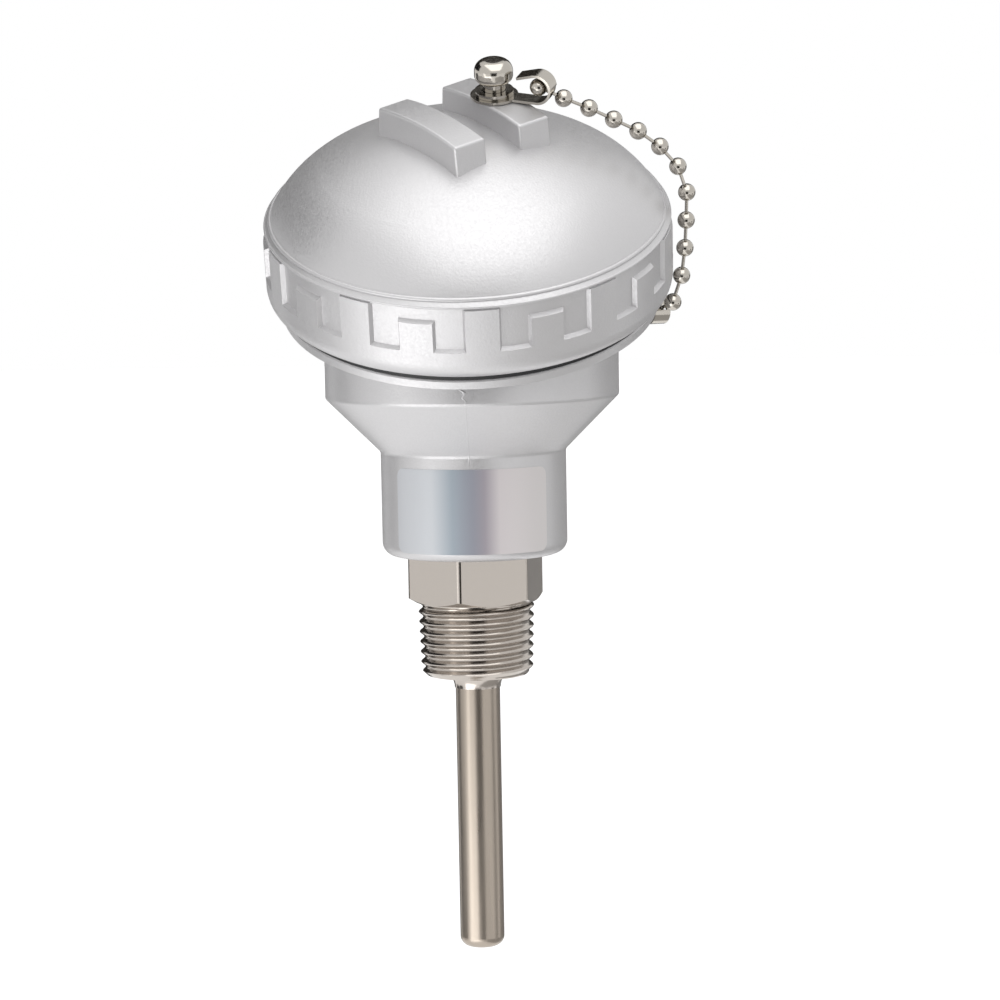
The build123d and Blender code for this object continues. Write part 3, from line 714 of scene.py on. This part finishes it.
@dataclass
class Foil:
    """The bare label foil on the neck."""

    paint: Paintbox

    def build(self) -> bpy.types.Object:
        """Bend a thin plate with rounded corners round the neck.

        Returns:
            The foil.
        """
        radius = self.neck_radius()
        low, high = FOIL_LOW_MM * MM, FOIL_HIGH_MM * MM
        start, stop = math.radians(FOIL_FROM_DEG), math.radians(FOIL_TO_DEG)
        width, height = radius * (stop - start), high - low
        corner = FOIL_CORNER_MM * MM
        form = bmesh.new()
        bmesh.ops.create_grid(
            form, x_segments=FOIL_COLUMNS, y_segments=FOIL_ROWS, size=UNIT_HALF
        )
        for vertex in form.verts:
            x, y = vertex.co.x * width, vertex.co.y * height
            over_x = abs(x) - (width / 2 - corner)
            over_y = abs(y) - (height / 2 - corner)
            if over_x > 0 and over_y > 0:
                longest = max(over_x, over_y)
                scale = longest / math.hypot(over_x, over_y)
                x = math.copysign(width / 2 - corner + over_x * scale, x)
                y = math.copysign(height / 2 - corner + over_y * scale, y)
            vertex.co = (x, y, 0)
        grown = bmesh.ops.extrude_face_region(form, geom=list(form.faces))
        bmesh.ops.translate(
            form,
            verts=[v for v in grown["geom"] if isinstance(v, bmesh.types.BMVert)],
            vec=(0, 0, FOIL_THICKNESS_MM * MM),
        )
        middle = (start + stop) / 2
        for vertex in form.verts:
            turn = middle + vertex.co.x / radius
            out = radius + vertex.co.z + FOIL_GAP_MM * MM
            level = (low + high) / 2 + vertex.co.y
            vertex.co = (out * math.sin(turn), -out * math.cos(turn), level)
        bmesh.ops.recalc_face_normals(form, faces=form.faces)
        made = add_object("label_foil", form, self.paint.get(Finish.FOIL))
        smooth(made.data, FOIL_SMOOTH_DEG)
        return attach(made, "head")

    @staticmethod
    def neck_radius() -> float:
        """Measure the neck on the CAD's casting, below the middle of the foil.

        Returns:
            The neck's radius.
        """
        points = bpy.data.objects["head_body"].data.vertices
        middle = 0.5 * (FOIL_LOW_MM + FOIL_HIGH_MM) * MM
        return max(math.hypot(v.co.x, v.co.y) for v in points if v.co.z < middle)


@dataclass
class LipBeads:
    """Two fine beads round the cap's lip, with the line between them."""

    paint: Paintbox

    def build(self) -> bpy.types.Object:
        """Turn each bead round the tilted axis of the cap.

        Returns:
            The beads, as one piece.
        """
        form = bmesh.new()
        tilt = math.radians(CAP_TILT_DEG)
        up = Vector((0, -math.sin(tilt), math.cos(tilt)))
        side = Vector((1, 0, 0))
        front = side.cross(up)
        seat = Vector((0, 0, CAP_SEAT_MM * MM))
        for radius, height, size in LIP_BEADS_MM:
            rings = []
            for place in range(LIP_TURNS):
                turn = 2 * math.pi * place / LIP_TURNS
                outward = side * math.cos(turn) + front * math.sin(turn)
                ring = []
                for point in range(LIP_POINTS):
                    roll = 2 * math.pi * point / LIP_POINTS
                    out = radius + size * math.cos(roll)
                    rise = height + size * math.sin(roll)
                    ring.append(form.verts.new(seat + (outward * out + up * rise) * MM))
                rings.append(ring)
            for place, ring in enumerate(rings):
                after = rings[(place + 1) % LIP_TURNS]
                for point in range(LIP_POINTS):
                    beside = (point + 1) % LIP_POINTS
                    form.faces.new((ring[point], ring[beside], after[beside], after[point]))
        bmesh.ops.recalc_face_normals(form, faces=form.faces)
        made = add_object("lip_beads", form, self.paint.get(Finish.PAINT))
        smooth(made.data, ROUND_SMOOTH_DEG)
        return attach(made, "cap")


@dataclass
class MouldMarks:
    """The parting ridge down the casting's front, and the nub of flash above it."""

    paint: Paintbox
    skin: BVHTree | None = field(default=None, init=False)

    def build(self) -> None:
        """Lay both marks on the skin of the CAD's casting."""
        source = bpy.data.objects["head_body"].data
        corners = [vertex.co.copy() for vertex in source.vertices]
        self.skin = BVHTree.FromPolygons(corners, [list(p.vertices) for p in source.polygons])
        self.parting_ridge()
        self.flash_nub()

    def front(self, across: float, level: float) -> tuple:
        """Find the casting's front at a place seen from -Y.

        Args:
            across: place along X in mm.
            level: height in mm.

        Returns:
            The point and its normal.
        """
        start = Vector((across * MM, -RAY_START_MM * MM, level * MM))
        point, normal, _, _ = self.skin.ray_cast(start, Vector((0, 1, 0)))
        return point, normal

    def parting_ridge(self) -> bpy.types.Object:
        """Build the ridge as a low roof that follows the skin.

        Returns:
            The ridge.
        """
        form = bmesh.new()
        rows = []
        count = round((PARTING_HIGH_MM - PARTING_LOW_MM) / PARTING_STEP_MM)
        for place in range(count + 1):
            level = PARTING_LOW_MM + place * PARTING_STEP_MM
            point, normal = self.front(0.0, level)
            fade = min(1.0, place / PARTING_FADE_ROWS, (count - place) / PARTING_FADE_ROWS)
            side = Vector((PARTING_WIDTH_MM / 2 * MM, 0, 0))
            sunk = point - normal * PARTING_SUNK_MM * MM
            crest = point + normal * PARTING_RISE_MM * fade * MM
            rows.append([form.verts.new(co) for co in (sunk - side, crest, sunk + side)])
        for low, high in zip(rows, rows[1:]):
            for place in range(len(low)):
                after = (place + 1) % len(low)
                form.faces.new((low[place], low[after], high[after], high[place]))
        form.faces.new(rows[0][::-1])
        form.faces.new(rows[-1])
        bmesh.ops.recalc_face_normals(form, faces=form.faces)
        made = add_object("parting_ridge", form, self.paint.get(Finish.PAINT))
        smooth(made.data, ROUND_SMOOTH_DEG)
        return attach(made, "head")

    def flash_nub(self) -> bpy.types.Object:
        """Build the nub as a tapered, crooked bead on the bowl.

        Returns:
            The nub.
        """
        form = bmesh.new()
        bmesh.ops.create_cone(
            form,
            cap_ends=True,
            segments=FLASH_SIDES,
            radius1=1,
            radius2=1,
            depth=1.0,
            matrix=Matrix(),
        )
        uprights = [e for e in form.edges if abs(e.verts[0].co.z - e.verts[1].co.z) > 0.5]
        bmesh.ops.subdivide_edges(form, edges=uprights, cuts=FLASH_RINGS)
        for vertex in form.verts:
            along = 0.5 - vertex.co.z
            crook = FLASH_CROOK_MM * math.sin(2 * math.pi * along)
            across = FLASH_TOP_MM[0] + (FLASH_END_MM[0] - FLASH_TOP_MM[0]) * along + crook
            level = FLASH_TOP_MM[1] + (FLASH_END_MM[1] - FLASH_TOP_MM[1]) * along
            point, normal = self.front(across, level)
            size = FLASH_RADIUS_MM * (1 - FLASH_TAPER * along) * MM
            sideways = Vector((vertex.co.x * size, 0, 0))
            vertex.co = point + sideways + normal * (vertex.co.y * size * FLASH_FLATNESS)
        bmesh.ops.recalc_face_normals(form, faces=form.faces)
        made = add_object("flash_nub", form, self.paint.get(Finish.PAINT))
        smooth(made.data, ROUND_SMOOTH_DEG)
        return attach(made, "head")


@dataclass(frozen=True)
class Lamp:
    """A soft lamp on a circle round the stem, in metres.

    Args:
        name: object name.
        turn_deg: direction from the object, 0 at the front and positive to the right.
        distance: distance from the stem axis.
        level: height of the lamp.
        width: width of the glowing face.
        height: height of the glowing face.
        radiance: brightness of the glowing face, where 1 is white.
    """

    name: str
    turn_deg: float
    distance: float
    level: float
    width: float
    height: float
    radiance: float


@dataclass(frozen=True)
class Card:
    """A card on a circle round the stem, in metres, that only reflections show.

    Args:
        name: object name.
        turn_deg: direction from the object, 0 at the front and positive to the right.
        distance: distance from the stem axis.
        level: height of the card's middle.
        width: width of the card.
        height: height of the card.
        colour: sRGB colour of the card.
        lean_deg: how far the card leans back, 90 for one that lies flat.
    """

    name: str
    turn_deg: float
    distance: float
    level: float
    width: float
    height: float
    colour: str
    lean_deg: float = 0.0


AIM_HEIGHT_MM = 40.0
LAMPS = (
    Lamp(
        "key_top", turn_deg=14.0, distance=0.27, level=0.58,
        width=0.62, height=0.86, radiance=1.4,
    ),
    Lamp(
        "low_left", turn_deg=-38.0, distance=0.30, level=-0.19,
        width=0.30, height=0.20, radiance=1.6,
    ),
    Lamp(
        "strip_left", turn_deg=-52.0, distance=0.66, level=-0.10,
        width=0.14, height=0.34, radiance=1.1,
    ),
)
CARDS = (
    Card(
        "front_card", turn_deg=4.0, distance=0.72, level=-0.49,
        width=0.46, height=1.24, colour="#393634",
    ),
    Card(
        "left_low_card", turn_deg=-91.0, distance=0.60, level=-0.60,
        width=0.24, height=0.90, colour="#32302D",
    ),
    Card(
        "left_side_card", turn_deg=-117.0, distance=0.55, level=-0.08,
        width=0.26, height=0.30, colour="#6E6D6E",
    ),
    Card(
        "left_high_card", turn_deg=-116.0, distance=0.50, level=0.42,
        width=0.54, height=0.44, colour="#2A2A2C",
    ),
    Card(
        "right_side_card", turn_deg=84.0, distance=0.64, level=-0.16,
        width=0.20, height=0.16, colour="#9C9B9A",
    ),
    Card(
        "right_floor_card", turn_deg=78.0, distance=0.38, level=-0.27,
        width=0.80, height=0.46, colour="#DAD8D6", lean_deg=90.0,
    ),
    Card(
        "back_right_card", turn_deg=138.0, distance=0.60, level=-0.30,
        width=0.60, height=0.80, colour="#BAB9B8",
    ),
    Card(
        "back_card", turn_deg=-174.0, distance=0.60, level=0.30,
        width=0.70, height=1.20, colour="#3E3C39",
    ),
)


def around(turn_deg: float, distance: float, level: float) -> Vector:
    """Find a place round the stem, as seen from the front.

    Args:
        turn_deg: direction, 0 at the front and positive to the right.
        distance: distance from the stem axis in metres.
        level: height in metres.

    Returns:
        The place.
    """
    turn = math.radians(turn_deg)
    return Vector((distance * math.sin(turn), -distance * math.cos(turn), level))


class Studio:
    """Camera, lamps, cards and background."""

    def build(self) -> None:
        """Set the whole stage."""
        self.camera()
        self.world()
        self.floor()
        for lamp in LAMPS:
            self.lamp(lamp)
        for card in CARDS:
            self.card(card)
        self.render()

    @staticmethod
    def camera() -> None:
        """Place a camera with the photograph's view."""
        yaw, pitch = math.radians(CAMERA_YAW_DEG), math.radians(CAMERA_PITCH_DEG)
        roll = math.radians(CAMERA_ROLL_DEG)
        ahead = Vector(
            (math.sin(yaw) * math.cos(pitch), math.cos(yaw) * math.cos(pitch), -math.sin(pitch))
        )
        level = Vector((math.cos(yaw), -math.sin(yaw), 0))
        upright = level.cross(ahead)
        right = level * math.cos(roll) + upright * math.sin(roll)
        up = upright * math.cos(roll) - level * math.sin(roll)
        place = Vector((0, -CAMERA_DISTANCE_MM, CAMERA_HEIGHT_MM)) * MM
        turn = Matrix([right, up, -ahead]).transposed().to_4x4()
        data = bpy.data.cameras.new("camera")
        data.sensor_width = SENSOR_MM
        data.lens = FOCAL_PX / PICTURE_PX * SENSOR_MM
        data.shift_x = -CENTRE_SHIFT_PX / PICTURE_PX
        data.clip_start = NEAR_CLIP_M
        data.clip_end = FAR_CLIP_M
        data.dof.use_dof = False
        made = bpy.data.objects.new("camera", data)
        orbit = Matrix.Rotation(CAMERA_ORBIT_RAD, 4, "Z")
        made.matrix_world = orbit @ Matrix.Translation(place) @ turn
        bpy.context.scene.collection.objects.link(made)
        bpy.context.scene.camera = made

    @staticmethod
    def world() -> None:
        """Light the object softly and show white to the camera and in reflections."""
        world = bpy.data.worlds.new("world")
        bpy.context.scene.world = world
        world.use_nodes = True
        nodes, links = world.node_tree.nodes, world.node_tree.links
        back = nodes["Background"]
        back.inputs["Color"].default_value = (1.0, 1.0, 1.0, 1.0)
        strength = nodes.new("ShaderNodeMapRange")
        strength.inputs["To Min"].default_value = WORLD_LIGHT
        strength.inputs["To Max"].default_value = WORLD_SEEN
        links.new(seen_rays(nodes, links), strength.inputs["Value"])
        links.new(strength.outputs["Result"], back.inputs["Strength"])

    @staticmethod
    def floor() -> None:
        """Lay a pale floor well below the tip, white to the camera."""
        form = bmesh.new()
        bmesh.ops.create_grid(form, x_segments=1, y_segments=1, size=FLOOR_HALF_M)
        material = bpy.data.materials.new("floor")
        material.use_nodes = True
        nodes, links = material.node_tree.nodes, material.node_tree.links
        shader = nodes["Principled BSDF"]
        shader.inputs["Base Color"].default_value = srgb(FLOOR_COLOUR)
        shader.inputs["Roughness"].default_value = FLOOR_ROUGHNESS
        glow = nodes.new("ShaderNodeEmission")
        both = nodes.new("ShaderNodeAddShader")
        scale = nodes.new("ShaderNodeMath")
        scale.operation = "MULTIPLY"
        scale.inputs[1].default_value = FLOOR_GLOW
        links.new(seen_rays(nodes, links), scale.inputs[0])
        links.new(scale.outputs["Value"], glow.inputs["Strength"])
        links.new(shader.outputs["BSDF"], both.inputs[0])
        links.new(glow.outputs["Emission"], both.inputs[1])
        links.new(both.outputs["Shader"], nodes["Material Output"].inputs["Surface"])
        made = add_object("floor", form, material)
        made.location.z = FLOOR_LEVEL_M

    @staticmethod
    def lamp(lamp: Lamp) -> None:
        """Hang a soft lamp that looks at the head.

        Args:
            lamp: the lamp's place, size and brightness.
        """
        data = bpy.data.lights.new(lamp.name, "AREA")
        data.shape = "RECTANGLE"
        data.size = lamp.width
        data.size_y = lamp.height
        data.energy = lamp.radiance * math.pi * lamp.width * lamp.height
        made = bpy.data.objects.new(lamp.name, data)
        made.location = around(lamp.turn_deg, lamp.distance, lamp.level)
        aim = Vector((0, 0, AIM_HEIGHT_MM * MM)) - made.location
        made.rotation_mode = "QUATERNION"
        made.rotation_quaternion = aim.to_track_quat("-Z", "Y")
        bpy.context.scene.collection.objects.link(made)

    @staticmethod
    def card(card: Card) -> None:
        """Stand a card that shows in the metal's reflections, unseen by the camera.

        Args:
            card: the card's place, size and colour.
        """
        form = bmesh.new()
        bmesh.ops.create_grid(form, x_segments=1, y_segments=1, size=UNIT_HALF)
        for vertex in form.verts:
            vertex.co = (vertex.co.x * card.width, 0, vertex.co.y * card.height)
        material = bpy.data.materials.new(card.name)
        material.use_nodes = True
        shader = material.node_tree.nodes["Principled BSDF"]
        shader.inputs["Base Color"].default_value = srgb(card.colour)
        shader.inputs["Roughness"].default_value = 1.0
        shader.inputs["Specular IOR Level"].default_value = 0.0
        made = add_object(card.name, form, material)
        made.location = around(card.turn_deg, card.distance, card.level)
        lean = math.radians(card.lean_deg)
        turn = math.radians(card.turn_deg)
        made.rotation_euler = (-lean, 0.0, turn)
        made.visible_camera = False
        made.visible_shadow = False
        made.visible_diffuse = False

    @staticmethod
    def render() -> None:
        """Set the render's colour handling."""
        bpy.context.scene.view_settings.view_transform = "Standard"


def main() -> None:
    """Dress the frame."""
    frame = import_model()
    LOG.info("loaded %s", frame)
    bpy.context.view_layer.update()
    paint = Paintbox()
    for made in [o for o in bpy.data.objects if o.type == "MESH"]:
        made.data.materials.clear()
        made.data.materials.append(paint.get(finish_of(made.name)))
    Nipple(paint).build()
    Foil(paint).build()
    LipBeads(paint).build()
    MouldMarks(paint).build()
    Studio().build()


if __name__ == "__main__":
    logging.basicConfig(level=logging.INFO)
    main()
